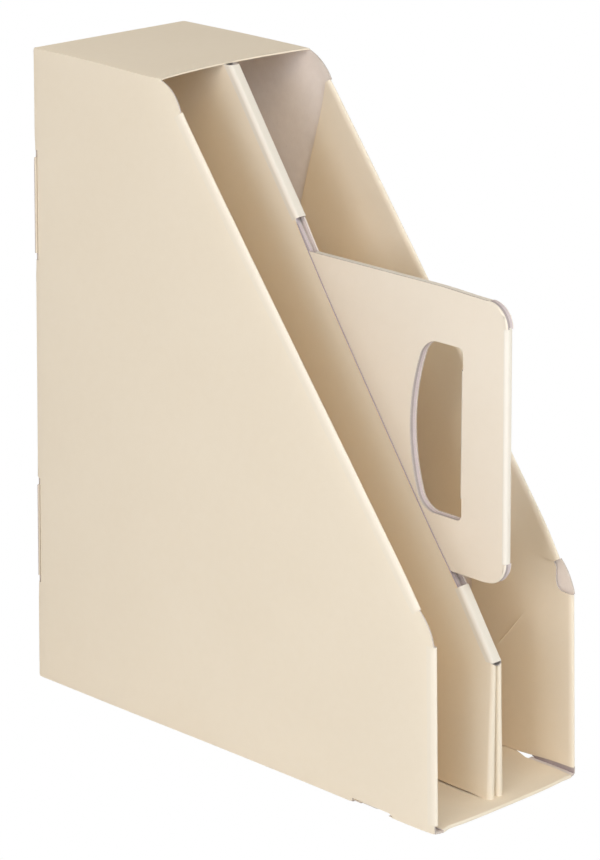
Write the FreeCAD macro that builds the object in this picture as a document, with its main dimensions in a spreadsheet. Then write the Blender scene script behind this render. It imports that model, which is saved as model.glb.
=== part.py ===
import FreeCAD, Part
import math
import os
import Sketcher

# A free-standing file box of folded board. Millimetres, +Z up, the open front faces -Y.
# The box stands on Z = 0, and the origin is at the middle of its footprint.

driving_sizes = {
    # Outer shell
    "box_width": 98,
    "box_depth": 266,
    "box_height": 318,
    "front_height": 91,
    "top_depth": 90,
    "board": 0.7,
    "crease_radius": 0.6,
    "hem_gap": 0.4,
    # Cut front edge of the top panel, measured from the rear face
    "top_edge_depth": 87,
    "top_edge_bow": 5.5,
    # Clipped corners of the side panels, along the slope and as bows of their arcs
    "upper_relief_length": 17.3,
    "upper_relief_bow": 2,
    "lower_relief_length": 16.7,
    "lower_relief_bow": 1.6,
    "lower_relief_setback": 0.5,
    "front_hem_height": 89,
    # Linings, the returns of the side hems
    "lining_width": 72,
    "lining_tail_setback": 72.3,
    "lining_seam_height": 103.5,
    "lining_seam_gap": 0.4,
    "lining_depth": 66,
    "lining_lift": 4.3,
    "lining_step_depth": 27,
    "lining_step_lift": 2.5,
    "lining_foot_depth": 33.5,
    "lining_foot_gap": 0.3,
    "lining_notch_depth": 11.3,
    "lining_notch_flare": 3.1,
    "lining_notch_radius": 5,
    # Floor
    "floor_bulge": 3,
    "floor_front_gap": 2.7,
    "floor_side_gap": 0.3,
    "floor_flare_length": 5,
    "floor_notch_depth": 5,
    "floor_slot_front": 24.7,
    "floor_slot_length": 25,
    "floor_slot_height": 1.4,
    "floor_slot_taper": 2.8,
    "floor_tab_length": 5.2,
    "floor_tab_gap": 0.3,
    # Tuck flaps that close the rear folds
    "tuck_height": 30,
    "tuck_side_gap": 0.5,
    "tuck_taper": 3,
    "flap_gap": 1.5,
    # Divider
    "divider_width": 6.6,
    "divider_setback": 5.5,
    "divider_front_height": 68,
    "divider_top_depth": 86,
    "divider_top_gap": 0.3,
    "divider_hem_height": 65,
    "divider_hem_depth": 12,
    "slot_bottom": 99.5,
    "slot_top_gap": 65,
    # Tabs of the rear flanges and the slots that they lock in
    "upper_tab_height": 241.5,
    "lower_tab_height": 77.4,
    "tab_length": 48,
    "tab_reach": 1,
    "tab_end_gap": 3,
    "tab_slot_depth": 1.4,
    # Handle panel that slides in the divider
    "handle_side_gap": 0.3,
    "handle_setback": 3,
    "handle_bottom": 105.5,
    "handle_top_gap": 80,
    "handle_corner": 10.5,
    "handle_travel": 100,
    "handle_stop_gap": 0.6,
    "shoulder_gap": 0.3,
    "anchor_bottom": 85,
    "anchor_top_gap": 32,
    "strip_gap": 0.2,
    # Finger hole
    "grip_width": 28,
    "hole_depth": 31,
    "hole_bottom_margin": 25,
    "hole_top_margin": 26,
    "hole_corner_depth": 10,
    "hole_corner_rise": 9,
    "hole_corner_bow": 2,
    "hole_side_bow": 5.2,
    "hole_front_corner": 3,
    "grip_flap_end_gap": 10.25,
    "grip_flap_gap": 0.1,
}

doc = FreeCAD.newDocument("file_box")
sheet = doc.addObject("Spreadsheet::Sheet", "Sizes")
for row, (alias, number) in enumerate(driving_sizes.items(), start=1):
    sheet.set(f"A{row}", alias)
    sheet.set(f"B{row}", str(number))
    sheet.setAlias(f"B{row}", alias)
doc.recompute()


# A size keeps its number and the expression that ties it to the sheet.
class Size:
    def __init__(self, text, value):
        self.text = text
        self.value = value

    def join(self, sign, other, value):
        return Size(f"({self.text} {sign} {as_size(other).text})", value)

    def __add__(self, other):
        return self.join("+", other, self.value + as_size(other).value)

    def __sub__(self, other):
        return self.join("-", other, self.value - as_size(other).value)

    def __mul__(self, other):
        return self.join("*", other, self.value * as_size(other).value)

    def __truediv__(self, other):
        return self.join("/", other, self.value / as_size(other).value)

    def __neg__(self):
        return Size(f"(-1 * {self.text})", -self.value)

    def __radd__(self, other):
        return as_size(other) + self

    def __rsub__(self, other):
        return as_size(other) - self

    def __rmul__(self, other):
        return as_size(other) * self


def as_size(thing):
    return thing if isinstance(thing, Size) else Size(str(thing), float(thing))


def root(size):
    return Size(f"sqrt({size.text})", math.sqrt(size.value))


def smaller(first, second):
    return Size(f"min({first.text}; {second.text})", min(first.value, second.value))


def arc_tangent(rise, run):
    return Size(f"atan({rise.text} / {run.text})", math.degrees(math.atan(rise.value / run.value)))


def arc_sine(rise, radius):
    return Size(f"asin({rise.text} / {radius.text})", math.degrees(math.asin(rise.value / radius.value)))


def cell(alias):
    return Size(f"Sizes.{alias}", float(sheet.get(alias)))


def bind(thing, path, size):
    thing.setExpression(path, as_size(size).text)


# How far the middle of a quarter round stands in from its square corner, as a share of its radius
round_share = 1 - math.sqrt(0.5)
# A fillet takes at most this share of the board
fillet_share = 0.9


# Bodies, sketches and features

plane_normals = {"XY_Plane": 1, "YZ_Plane": 1, "XZ_Plane": -1}
sub_parts = []


def new_body(name):
    body = doc.addObject("PartDesign::Body", name)
    body.Label = name
    sub_parts.append(body)
    return body


def draw_loop(sketch, corners):
    edges = []
    for place, corner in enumerate(corners):
        following = corners[(place + 1) % len(corners)]
        start = FreeCAD.Vector(corner[0].value, corner[1].value, 0)
        finish = FreeCAD.Vector(following[0].value, following[1].value, 0)
        if len(corner) == 2:
            edges.append((sketch.addGeometry(Part.LineSegment(start, finish)), 1, 2))
            continue
        middle = FreeCAD.Vector(corner[2][0].value, corner[2][1].value, 0)
        arc = sketch.addGeometry(Part.Arc(start, middle, finish))
        turns_left = (middle - start).cross(finish - middle).z > 0
        edges.append((arc, 1, 2) if turns_left else (arc, 2, 1))
        pin = sketch.addGeometry(Part.Point(middle), True)
        hold_point(sketch, pin, 1, corner[2])
        sketch.addConstraint(Sketcher.Constraint("PointOnObject", pin, 1, arc))
    for place, (edge, first, last) in enumerate(edges):
        next_edge, next_first, _ = edges[(place + 1) % len(edges)]
        sketch.addConstraint(Sketcher.Constraint("Coincident", edge, last, next_edge, next_first))
        hold_point(sketch, edge, first, corners[place])


def hold_point(sketch, edge, end, point):
    for kind, size in zip(("DistanceX", "DistanceY"), point[:2]):
        held = sketch.addConstraint(Sketcher.Constraint(kind, -1, 1, edge, end, size.value))
        bind(sketch, f"Constraints[{held}]", size)


def sketch_on(body, plane, distance, loops):
    sketch = body.newObject("Sketcher::SketchObject", f"{body.Label}_outline")
    support = [feature for feature in body.Origin.OriginFeatures if feature.Role == plane][0]
    sketch.AttachmentSupport = [(support, "")]
    sketch.MapMode = "FlatFace"
    lift = plane_normals[plane] * as_size(distance)
    sketch.AttachmentOffset = FreeCAD.Placement(FreeCAD.Vector(0, 0, lift.value), FreeCAD.Rotation())
    bind(sketch, "AttachmentOffset.Base.z", lift)
    for corners in loops:
        draw_loop(sketch, [tuple(map(sized_corner, corner)) for corner in corners])
    return sketch


def sized_corner(value):
    return tuple(map(as_size, value)) if isinstance(value, tuple) else as_size(value)


# Adds a plate that reaches from one distance along the plane's axis to another.
def plate(body, plane, first, last, *loops):
    sketch = sketch_on(body, plane, first, loops)
    pad = body.newObject("PartDesign::Pad", f"{body.Label}_pad")
    pad.Profile = sketch
    pad.Reversed = plane_normals[plane] < 0
    bind(pad, "Length", as_size(last) - first)
    doc.recompute()
    return pad


def round_edges(body, feature, radius, points):
    names = []
    for point in points:
        vertex = Part.Vertex(*(as_size(number).value for number in point))
        gaps = [edge.distToShape(vertex)[0] for edge in feature.Shape.Edges]
        names.append(f"Edge{gaps.index(min(gaps)) + 1}")
    fillet = body.newObject("PartDesign::Fillet", f"{body.Label}_crease")
    fillet.Base = (feature, names)
    bind(fillet, "Radius", radius)
    doc.recompute()
    return fillet


# Corners of a rectangle
def rectangle(left, low, right, high):
    return [(left, low), (right, low), (right, high), (left, high)]


# Section of a half round hem bend: it is centred on middle, and its outside reaches front.
def hem_section(middle, front):
    level = front + hem_radius
    bore = hem_gap / 2
    return [
        (middle - hem_radius, level, (middle, front)),
        (middle + hem_radius, level),
        (middle + bore, level, (middle, level - bore)),
        (middle - bore, level),
    ]


# A point on the arc between two points, at its middle, bowed to the left of the way between them
def bowed(first, second, bow):
    run = second[0] - first[0]
    rise = second[1] - first[1]
    length = root(run * run + rise * rise)
    across = (first[0] + second[0]) / 2 - rise / length * bow
    up = (first[1] + second[1]) / 2 + run / length * bow
    return (across, up)


# The pair of places of a layer that lies between two distances on the side of the middle plane
def layer(side, inner, outer):
    return (inner, outer) if side > 0 else (-outer, -inner)


# A slope goes up from a low corner to a high one. It gives places by distance along it from the
# low corner, and by distance inward, square to it.
class Slope:
    def __init__(self, low_y, low_z, high_y, high_z):
        self.low_y = low_y
        self.low_z = low_z
        self.run = high_y - low_y
        self.rise = high_z - low_z
        self.length = root(self.run * self.run + self.rise * self.rise)
        self.along_y = self.run / self.length
        self.along_z = self.rise / self.length

    def point(self, along, inward):
        return (
            self.low_y + along * self.along_y + inward * self.along_z,
            self.low_z + along * self.along_z - inward * self.along_y,
        )

    def along_at(self, height, inward):
        return (height - self.low_z + inward * self.along_y) / self.along_z

    def at_height(self, height, inward):
        return self.point(self.along_at(height, inward), inward)

    # Turns the body's own Z along the slope and its own Y inward.
    def carry(self, body):
        angle = arc_tangent(self.run, self.rise)
        base = FreeCAD.Vector(0, self.low_y.value, self.low_z.value)
        turn = FreeCAD.Rotation(FreeCAD.Vector(-1, 0, 0), angle.value)
        body.Placement = FreeCAD.Placement(base, turn)
        bind(body, "Placement.Base.y", self.low_y)
        bind(body, "Placement.Base.z", self.low_z)
        bind(body, "Placement.Rotation.Angle", angle)


# Shared places

board = cell("board")
hem_gap = cell("hem_gap")
hem_radius = board + hem_gap / 2
crease = smaller(cell("crease_radius"), fillet_share * board)

half_width = cell("box_width") / 2
top = cell("box_height")
rear = (cell("box_depth") + cell("floor_bulge")) / 2
front = rear - cell("box_depth")
wall_inside = half_width - board
lining_inside = half_width - 2 * hem_radius
under_top = top - board
back_inside = rear - board
flange_inside = rear - 2 * board
floor_top = 2 * hem_radius

slope = Slope(front, cell("front_height"), rear - cell("top_depth"), top)
lower_hem_end = cell("lower_relief_length")
upper_hem_end = slope.length - cell("upper_relief_length")
front_hem_top = cell("front_hem_height")
top_edge_ends = rear - cell("top_edge_depth")

slot_front = front + cell("floor_slot_front")
slot_rear = slot_front + cell("floor_slot_length")
slot_ceiling = board + cell("floor_slot_height")

tab_heights = (cell("lower_tab_height"), cell("upper_tab_height"))
half_tab = cell("tab_length") / 2
half_tab_slot = half_tab + cell("tab_end_gap")


# Corners of a rear edge that goes up, cut in by a depth at both tab slots
def notched_edge(edge, depth):
    corners = []
    for height in tab_heights:
        low = height - half_tab_slot
        high = height + half_tab_slot
        corners += [(edge, low), (edge - depth, low), (edge - depth, high), (edge, high)]
    return corners


# Outer shell

def side_panel(name, side):
    upper_start = (top_edge_ends, under_top)
    upper_finish = slope.point(upper_hem_end, as_size(0))
    lower_start = slope.point(lower_hem_end, as_size(0))
    lower_finish = (front + cell("lower_relief_setback"), front_hem_top)
    outline = [
        (front + hem_radius, board),
        (slot_front, board),
        (slot_front + cell("floor_slot_taper"), slot_ceiling),
        (slot_rear, slot_ceiling),
        (slot_rear, board),
        (back_inside, board),
        *notched_edge(back_inside, cell("tab_slot_depth")),
        (back_inside, under_top),
        (*upper_start, bowed(upper_start, upper_finish, -cell("upper_relief_bow"))),
        upper_finish,
        slope.point(upper_hem_end, hem_radius),
        slope.point(lower_hem_end, hem_radius),
        (*lower_start, bowed(lower_start, lower_finish, -cell("lower_relief_bow"))),
        lower_finish,
        (front + hem_radius, front_hem_top),
    ]
    plate(new_body(name), "YZ_Plane", *layer(side, wall_inside, half_width), outline)


def back_panel(name):
    body = new_body(name)
    right_edge = notched_edge(half_width, board)
    left_edge = [(-across, up) for across, up in reversed(right_edge)]
    outline = [
        (half_width, board),
        *right_edge,
        (half_width, under_top),
        (-half_width, under_top),
        *left_edge,
        (-half_width, board),
    ]
    panel = plate(body, "XZ_Plane", back_inside, rear, outline)
    between_slots = (tab_heights[0] + tab_heights[1]) / 2
    levels = (board + crease, between_slots, under_top - crease)
    picks = [(across, rear, level) for across in (-half_width, half_width) for level in levels]
    round_edges(body, panel, crease, picks)


def top_panel(name):
    body = new_body(name)
    middle = (as_size(0), top_edge_ends + cell("top_edge_bow"))
    outline = [
        (-half_width, top_edge_ends, middle),
        (half_width, top_edge_ends),
        (half_width, rear),
        (-half_width, rear),
    ]
    panel = plate(body, "XY_Plane", under_top, top, outline)
    beside = rear - crease
    picks = [(-half_width, beside, top), (half_width, beside, top), (0, rear, top)]
    round_edges(body, panel, crease, picks)


# The bottom and its liner share a front edge that bulges forward on one arc.
bulge = cell("floor_bulge")
floor_radius = (half_width * half_width + bulge * bulge) / (2 * bulge)
floor_centre = front - bulge + floor_radius
floor_hem_radius = floor_radius - hem_radius


def floor_edge(across):
    return floor_centre - root(floor_hem_radius * floor_hem_radius - across * across)


def bottom_panel(name):
    body = new_body(name)
    notch_side = half_width - cell("floor_notch_depth")
    right_side = [
        (half_width, floor_edge(half_width)),
        (half_width, slot_front),
        (notch_side, slot_front),
        (notch_side, slot_rear),
        (half_width, slot_rear),
        (half_width, rear),
    ]
    left_side = [(-across, depth) for across, depth in reversed(right_side)]
    left_side[-1] = (*left_side[-1], (as_size(0), floor_centre - floor_hem_radius))
    panel = plate(body, "XY_Plane", as_size(0), board, right_side + left_side)
    ahead = slot_front - crease
    beside = rear - crease
    picks = [(across, depth, 0) for across in (-half_width, half_width) for depth in (ahead, beside)]
    picks.append((0, rear, 0))
    round_edges(body, panel, crease, picks)


def floor_liner(name):
    body = new_body(name)
    half_front = lining_inside - cell("floor_front_gap")
    half_liner = lining_inside - cell("floor_side_gap")
    flare_start = slot_front + cell("floor_slot_taper")
    tab_rear = slot_rear - cell("floor_tab_gap")
    tab_front = tab_rear - cell("floor_tab_length")
    liner_rear = flange_inside - cell("floor_side_gap")
    right_side = [
        (half_front, floor_edge(half_front)),
        (half_front, flare_start),
        (half_liner, flare_start + cell("floor_flare_length")),
        (half_liner, tab_front),
        (half_width, tab_front),
        (half_width, tab_rear),
        (half_liner, tab_rear),
        (half_liner, liner_rear),
    ]
    left_side = [(-across, depth) for across, depth in reversed(right_side)]
    left_side[-1] = (*left_side[-1], (as_size(0), floor_centre - floor_hem_radius))
    plate(body, "XY_Plane", floor_top - board, floor_top, right_side + left_side)

    # Hem bend, turned about the centre of the front arc
    bore = hem_gap / 2
    middle = floor_centre - floor_hem_radius
    section = [
        (middle, 2 * hem_radius, (middle - hem_radius, hem_radius)),
        (middle, as_size(0)),
        (middle, board, (middle - bore, hem_radius)),
        (middle, board + hem_gap),
    ]
    sketch = sketch_on(body, "YZ_Plane", as_size(0), [section])
    low = FreeCAD.Vector(floor_centre.value, 0, 0)
    high = FreeCAD.Vector(floor_centre.value, top.value, 0)
    axis = sketch.addGeometry(Part.LineSegment(low, high), True)
    hold_point(sketch, axis, 1, (floor_centre, as_size(0)))
    hold_point(sketch, axis, 2, (floor_centre, top))
    bend = body.newObject("PartDesign::Revolution", f"{name}_hem")
    bend.Profile = sketch
    bend.ReferenceAxis = (sketch, ["Axis0"])
    bend.Midplane = True
    bind(bend, "Angle", 2 * arc_sine(half_front, floor_radius))
    doc.recompute()


def tuck_flap(name, fold, edge):
    half_fold = wall_inside - cell("tuck_side_gap")
    half_edge = half_fold - cell("tuck_taper")
    outline = [(-half_fold, fold), (half_fold, fold), (half_edge, edge), (-half_edge, edge)]
    plate(new_body(name), "XZ_Plane", flange_inside, back_inside, outline)


# Linings: each returns inside its wall from the half round bend of the hem.

def slope_lining(name, side):
    body = new_body(name)
    slope.carry(body)
    width = cell("lining_width")
    seam = cell("lining_seam_height")
    sheet_outline = [
        (hem_radius, slope.along_at(seam, hem_radius)),
        (width, slope.along_at(seam, width)),
        (width, slope.length - cell("lining_tail_setback")),
        (hem_radius, upper_hem_end),
    ]
    plate(body, "YZ_Plane", *layer(side, lining_inside, lining_inside + board), sheet_outline)
    section = hem_section(side * (half_width - hem_radius), as_size(0))
    plate(body, "XY_Plane", lower_hem_end, upper_hem_end, section)


def front_lining(name, side):
    body = new_body(name)
    inner_end = front + cell("lining_depth")
    seam = cell("lining_seam_height") - cell("lining_seam_gap")
    lift = cell("lining_lift")
    foot = floor_top + cell("lining_foot_gap")
    notch = front + cell("lining_notch_depth")
    flare = cell("lining_notch_flare")
    turn = cell("lining_notch_radius")
    notch_start = (notch, front_hem_top + turn)
    notch_end = (notch - turn, front_hem_top)
    turn_bow = turn * round_share
    outline = [
        (front + hem_radius, lift),
        (front + cell("lining_step_depth"), cell("lining_step_lift")),
        (front + cell("lining_foot_depth"), foot),
        (inner_end, foot),
        (inner_end, seam),
        (notch + flare, seam),
        (notch, seam - flare),
        (*notch_start, (notch - turn_bow, front_hem_top + turn_bow)),
        notch_end,
        (front + hem_radius, front_hem_top),
    ]
    plate(body, "YZ_Plane", *layer(side, lining_inside, lining_inside + board), outline)
    section = hem_section(side * (half_width - hem_radius), front)
    plate(body, "XY_Plane", lift, front_hem_top, section)


# Divider: two skins hang from a ridge, which is slotted for the handle.

divider_outside = cell("divider_width") / 2
divider_inside = divider_outside - board
divider_front = front + cell("divider_setback")
divider_top = under_top - cell("divider_top_gap")
slot_top = divider_top - cell("slot_top_gap")
ridge = Slope(
    divider_front,
    cell("divider_front_height"),
    rear - cell("divider_top_depth"),
    divider_top,
)


def divider_skin(name, side):
    hem_top = cell("divider_hem_height")
    nose = ridge.low_z - board / ridge.along_y
    outline = [
        (divider_front + hem_radius, floor_top),
        (flange_inside, floor_top),
        (flange_inside, divider_top),
        ridge.at_height(divider_top, board),
        (divider_front, nose),
        (divider_front, hem_top),
        (divider_front + hem_radius, hem_top),
    ]
    plate(new_body(name), "YZ_Plane", *layer(side, divider_inside, divider_outside), outline)


def ridge_strip(name, low, high):
    body = new_body(name)
    ridge.carry(body)
    section = rectangle(-divider_outside, 0, divider_outside, board)
    strip = plate(body, "XY_Plane", low, high, section)
    middle = (low + high) / 2
    picks = [(-divider_outside, 0, middle), (divider_outside, 0, middle)]
    round_edges(body, strip, crease, picks)


def divider_front_hem(name, side):
    body = new_body(name)
    outer_bend = divider_front + hem_radius
    return_layer = layer(side, divider_outside - 2 * hem_radius, divider_inside - hem_gap)
    outline = rectangle(
        outer_bend,
        floor_top,
        outer_bend + cell("divider_hem_depth"),
        cell("divider_hem_height"),
    )
    plate(body, "YZ_Plane", *return_layer, outline)
    section = hem_section(side * (divider_outside - hem_radius), divider_front)
    plate(body, "XY_Plane", floor_top, cell("divider_hem_height"), section)


def divider_rear_flange(name, side):
    low = board + cell("tuck_height") + cell("flap_gap")
    high = under_top - cell("tuck_height") - cell("flap_gap")
    edge = wall_inside - cell("tuck_side_gap")
    tab_end = half_width + cell("tab_reach")
    outer_edge = [(edge, low)]
    for height in tab_heights:
        outer_edge += [
            (edge, height - half_tab),
            (tab_end, height - half_tab),
            (tab_end, height + half_tab),
            (edge, height + half_tab),
        ]
    outline = [(divider_inside, low), *outer_edge, (edge, high), (divider_inside, high)]
    if side < 0:
        outline = [(-across, up) for across, up in outline]
    plate(new_body(name), "XZ_Plane", flange_inside, back_inside, outline)


# Handle: four plies, edged by strips, with shoulders behind the ridge and a finger hole.

handle_outside = divider_inside - cell("handle_side_gap")
handle_face_inside = handle_outside - board
handle_front = front + cell("handle_setback")
handle_low = cell("handle_bottom")
handle_high = divider_top - cell("handle_top_gap")
corner = cell("handle_corner")
shoulder = board + cell("shoulder_gap")
anchor_low = cell("anchor_bottom")
anchor_high = divider_top - cell("anchor_top_gap")
anchor_rear = flange_inside - cell("handle_stop_gap") - cell("handle_travel")
hole_front = handle_front + cell("grip_width")
hole_low = handle_low + cell("hole_bottom_margin")
hole_high = handle_high - cell("hole_top_margin")


def handle_outline(top_inset):
    root_high = ridge.at_height(handle_high, shoulder)
    root_low = ridge.at_height(handle_low, shoulder)
    corner_cut = corner * round_share
    inner_front = handle_front + board
    outline = [
        ridge.at_height(anchor_low, shoulder),
        (anchor_rear, anchor_low),
        (anchor_rear, anchor_high),
        ridge.at_height(anchor_high, shoulder),
        root_high,
    ]
    if top_inset:
        outline += [
            (root_high[0], handle_high - top_inset),
            (handle_front + corner, handle_high - top_inset),
        ]
    outline += [
        (handle_front + corner, handle_high, (handle_front + corner_cut, handle_high - corner_cut)),
        (handle_front, handle_high - corner),
        (inner_front, handle_high - corner),
        (inner_front, handle_low + corner),
        (handle_front, handle_low + corner, (handle_front + corner_cut, handle_low + corner_cut)),
        (handle_front + corner, handle_low),
        root_low,
    ]
    return outline


# A straight front side behind the grip flaps, and a rear side that bows out
def hole_outline():
    straight = hole_front - board
    turn = cell("hole_front_corner")
    turn_cut = turn * round_share
    rise = cell("hole_corner_rise")
    corner_bow = cell("hole_corner_bow")
    side_bow = cell("hole_side_bow")
    side_depth = hole_front + cell("hole_depth") - side_bow
    corner_start = side_depth - cell("hole_corner_depth")
    upper_start = (corner_start, hole_high)
    upper_end = (side_depth, hole_high - rise)
    lower_start = (side_depth, hole_low + rise)
    lower_end = (corner_start, hole_low)
    middle = (hole_high + hole_low) / 2
    return [
        (straight, hole_low + turn, (straight + turn_cut, hole_low + turn_cut)),
        (straight + turn, hole_low),
        (*lower_end, bowed(lower_end, lower_start, -corner_bow)),
        (*lower_start, (side_depth + side_bow, middle)),
        (*upper_end, bowed(upper_end, upper_start, -corner_bow)),
        upper_start,
        (straight + turn, hole_high, (straight + turn_cut, hole_high - turn_cut)),
        (straight, hole_high - turn),
    ]


def handle_ply(name, side, inner, outer, top_inset):
    first, last = layer(side, inner, outer)
    plate(new_body(name), "YZ_Plane", first, last, handle_outline(top_inset), hole_outline())


def handle_top_strip(name):
    body = new_body(name)
    left_edge = cell("strip_gap") - handle_face_inside
    root_high = ridge.at_height(handle_high, shoulder)
    outline = rectangle(left_edge, handle_front + corner, handle_outside, root_high[0])
    strip = plate(body, "XY_Plane", handle_high - board, handle_high, outline)
    middle = (handle_front + corner + root_high[0]) / 2
    round_edges(body, strip, crease, [(handle_outside, middle, handle_high)])


def handle_front_strip(name):
    body = new_body(name)
    outline = rectangle(-handle_outside, handle_front, handle_outside, handle_front + board)
    strip = plate(body, "XY_Plane", handle_low + corner, handle_high - corner, outline)
    middle = (handle_low + handle_high) / 2
    picks = [(-handle_outside, handle_front, middle), (handle_outside, handle_front, middle)]
    round_edges(body, strip, crease, picks)


def grip_flap(name, side):
    body = new_body(name)
    first, last = layer(side, cell("grip_flap_gap"), handle_outside)
    outline = rectangle(first, hole_front - board, last, hole_front)
    middle = (hole_low + hole_high) / 2
    half_flap = (hole_high - hole_low) / 2 - cell("grip_flap_end_gap")
    flap = plate(body, "XY_Plane", middle - half_flap, middle + half_flap, outline)
    round_edges(body, flap, crease, [(side * handle_outside, hole_front, middle)])


# Sub-parts

back_panel("back_panel")
top_panel("top_panel")
bottom_panel("bottom_panel")
floor_liner("floor_liner")
tuck_flap("top_tuck_flap", under_top, under_top - cell("tuck_height"))
tuck_flap("bottom_tuck_flap", board, board + cell("tuck_height"))
ridge_strip("divider_upper_ridge", ridge.along_at(slot_top, 0), ridge.length)
ridge_strip("divider_lower_ridge", as_size(0), ridge.along_at(cell("slot_bottom"), 0))
handle_top_strip("handle_top_strip")
handle_front_strip("handle_front_strip")

for side_name, side in (("left", -1), ("right", 1)):
    side_panel(f"{side_name}_side_panel", side)
    slope_lining(f"{side_name}_slope_lining", side)
    front_lining(f"{side_name}_front_lining", side)
    divider_skin(f"divider_{side_name}_skin", side)
    divider_front_hem(f"divider_{side_name}_front_hem", side)
    divider_rear_flange(f"divider_{side_name}_rear_flange", side)
    top_inset = board if side > 0 else None
    handle_ply(f"handle_{side_name}_face", side, handle_face_inside, handle_outside, top_inset)
    handle_ply(f"handle_{side_name}_backing", side, as_size(0), handle_face_inside, board)
    grip_flap(f"handle_{side_name}_grip_flap", side)

doc.recompute()
for thing in doc.Objects:
    if "Invalid" in thing.State or "Error" in thing.State:
        raise RuntimeError(f"{thing.Label} failed: {thing.State}")

os.makedirs("parts", exist_ok=True)
for body in sub_parts:
    shape = body.Shape
    if shape.isNull() or not shape.isValid() or len(shape.Solids) != 1:
        raise RuntimeError(f"{body.Label} is not one sound solid")
    shape.exportStep(f"parts/{body.Label}.step")
    box = shape.BoundBox
    print(
        f"{body.Label}: {shape.Volume:.1f} mm3,"
        f" x {box.XMin:.2f} to {box.XMax:.2f},"
        f" y {box.YMin:.2f} to {box.YMax:.2f},"
        f" z {box.ZMin:.2f} to {box.ZMax:.2f}"
    )
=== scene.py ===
import math
import bmesh
import bpy
from mathutils import Matrix, Vector


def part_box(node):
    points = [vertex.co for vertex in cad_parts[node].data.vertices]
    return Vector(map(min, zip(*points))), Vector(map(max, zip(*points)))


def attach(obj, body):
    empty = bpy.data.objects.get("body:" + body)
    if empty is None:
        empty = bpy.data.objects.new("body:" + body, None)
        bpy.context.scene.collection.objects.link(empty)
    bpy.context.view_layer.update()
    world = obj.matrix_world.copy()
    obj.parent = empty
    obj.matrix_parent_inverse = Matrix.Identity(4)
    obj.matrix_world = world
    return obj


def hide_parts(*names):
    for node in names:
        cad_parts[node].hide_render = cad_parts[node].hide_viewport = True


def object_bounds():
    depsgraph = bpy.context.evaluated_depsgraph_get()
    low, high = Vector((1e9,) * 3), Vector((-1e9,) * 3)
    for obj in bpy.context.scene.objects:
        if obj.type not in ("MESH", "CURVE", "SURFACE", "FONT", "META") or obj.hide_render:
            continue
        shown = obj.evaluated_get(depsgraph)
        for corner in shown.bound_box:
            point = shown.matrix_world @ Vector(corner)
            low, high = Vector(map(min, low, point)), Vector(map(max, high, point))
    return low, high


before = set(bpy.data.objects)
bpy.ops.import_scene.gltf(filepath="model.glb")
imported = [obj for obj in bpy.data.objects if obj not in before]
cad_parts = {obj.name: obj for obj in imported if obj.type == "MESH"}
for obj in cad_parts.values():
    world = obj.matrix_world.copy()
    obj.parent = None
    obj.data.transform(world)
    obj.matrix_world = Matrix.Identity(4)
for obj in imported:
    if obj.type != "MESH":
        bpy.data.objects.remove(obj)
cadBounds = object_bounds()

mm = 0.001  # metres in a millimetre
tiny = 0.01 * mm
sides = ((-1, "left"), (1, "right"))
scene = bpy.context.scene
scene.view_settings.view_transform = "Standard"


# Node trees

class Nodes:
    # Adds nodes to one tree. A value for a socket is a number, a tuple or a Wire.
    def __init__(self, tree):
        self.tree = tree
        tree.nodes.clear()

    def node(self, kind, settings=None, values=(), output=0):
        made = self.tree.nodes.new(kind)
        for key, value in (settings or {}).items():
            setattr(made, key, value)
        for key, value in values.items() if isinstance(values, dict) else enumerate(values):
            if isinstance(value, Wire):
                self.tree.links.new(value.socket, made.inputs[key])
            else:
                made.inputs[key].default_value = value
        return Wire(self, made, made.outputs[output]) if len(made.outputs) else None

    def maths(self, operation, *values, clamp=False):
        return self.node("ShaderNodeMath", {"operation": operation, "use_clamp": clamp}, values)

    def vector(self, operation, values):
        return self.node("ShaderNodeVectorMath", {"operation": operation}, values)

    def noise(self, place, name):
        size, detail, roughness = textures[name]
        values = {"Vector": place, "Scale": 1 / size, "Detail": detail, "Roughness": roughness}
        return self.node("ShaderNodeTexNoise", None, values)

    def stored(self, name):
        return self.node("ShaderNodeAttribute", {"attribute_name": name}, output=2)

    def blend(self, amount, first, second):
        first, second = (colour if isinstance(colour, Wire) else (*colour, 1) for colour in (first, second))
        return self.node("ShaderNodeMix", {"data_type": "RGBA"}, {0: amount, 6: first, 7: second}, output=2)

    # Noises about their middle, each by its share in the surface, around the surface's mean
    def mottle(self, surface, **noises):
        parts = [(wire - 0.5) * surface[name] for name, wire in noises.items()]
        return self.maths("ADD", sum(parts[1:], parts[0]), surface["mean"], clamp=True)

    # 1 for rays that see a surface straight, by reflection or through glass
    def seenRays(self):
        ray = self.node("ShaderNodeLightPath")
        seen = self.maths("MAXIMUM", ray.out("Is Camera Ray"), ray.out("Is Glossy Ray"))
        return self.maths("MAXIMUM", seen, ray.out("Is Transmission Ray"))


class Wire:
    # One output socket. Arithmetic on it adds Math nodes.
    def __init__(self, nodes, made, socket):
        self.nodes = nodes
        self.made = made
        self.socket = socket

    def out(self, name):
        return Wire(self.nodes, self.made, self.made.outputs[name])

    def __add__(self, other):
        return self.nodes.maths("ADD", self, other)

    def __sub__(self, other):
        return self.nodes.maths("SUBTRACT", self, other)

    def __mul__(self, other):
        return self.nodes.maths("MULTIPLY", self, other)

    def __rsub__(self, other):
        return self.nodes.maths("SUBTRACT", other, self)

    __radd__ = __add__
    __rmul__ = __mul__


# Finishes

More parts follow.
